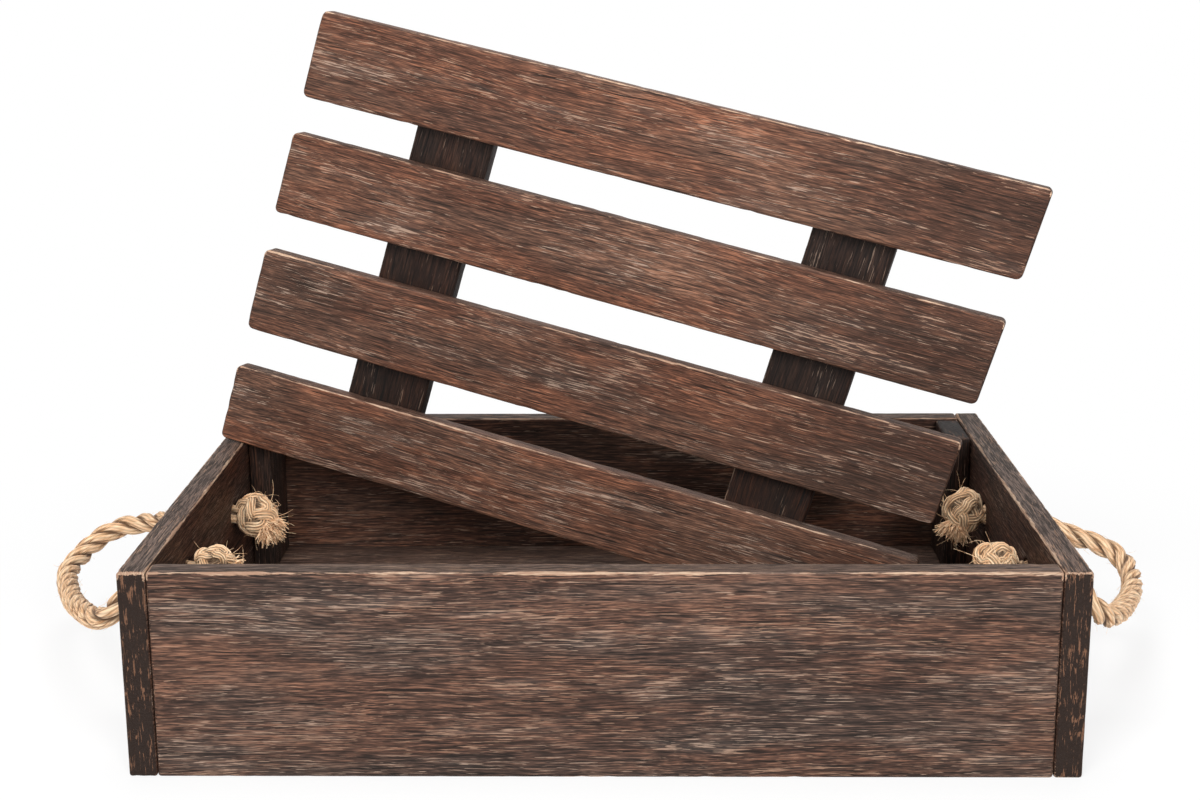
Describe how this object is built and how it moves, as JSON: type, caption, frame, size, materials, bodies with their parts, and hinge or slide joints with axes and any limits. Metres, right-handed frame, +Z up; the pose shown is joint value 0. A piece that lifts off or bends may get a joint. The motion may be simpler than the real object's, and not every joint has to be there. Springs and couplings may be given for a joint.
{
  "type": "wooden crate",
  "caption": "Shallow open timber crate of dark stained boards with a rope handle at each end and a loose slatted lid standing in it at an angle.",
  "frame": {"origin": "middle of the crate's footprint, at the height of the surface it stands on", "axes": "+X along the crate's length towards the end where the lid rises over the rim, +Y from the front board towards the back board, +Z up"},
  "size_m": [0.813, 0.4, 0.4638],
  "materials": {
    "stained_wood": "dark stain, worn",
    "dark_wood": "dark stain, unworn",
    "jute": "rough fibre",
    "screw_steel": "dull"
  },
  "bodies": {
    "root": {"front_board": "stained_wood", "back_board": "stained_wood", "left_end_board": "stained_wood", "right_end_board": "stained_wood", "lid_slat_1": "stained_wood", "lid_slat_2": "stained_wood", "lid_slat_3": "stained_wood", "lid_slat_4": "stained_wood", "rear_left_cleat": "dark_wood", "rear_right_cleat": "dark_wood", "floor_board_1": "dark_wood", "floor_board_2": "dark_wood", "floor_board_3": "dark_wood", "floor_board_4": "dark_wood", "lid_batten_left": "dark_wood", "lid_batten_right": "dark_wood", "left_rope": "jute", "right_rope": "jute", "left_rope_knots": "jute", "right_rope_knots": "jute", "corner_screws": "screw_steel", "floor_screws": "screw_steel", "cleat_screws": "screw_steel", "lid_screws": "screw_steel"}
  },
  "joints": []
}
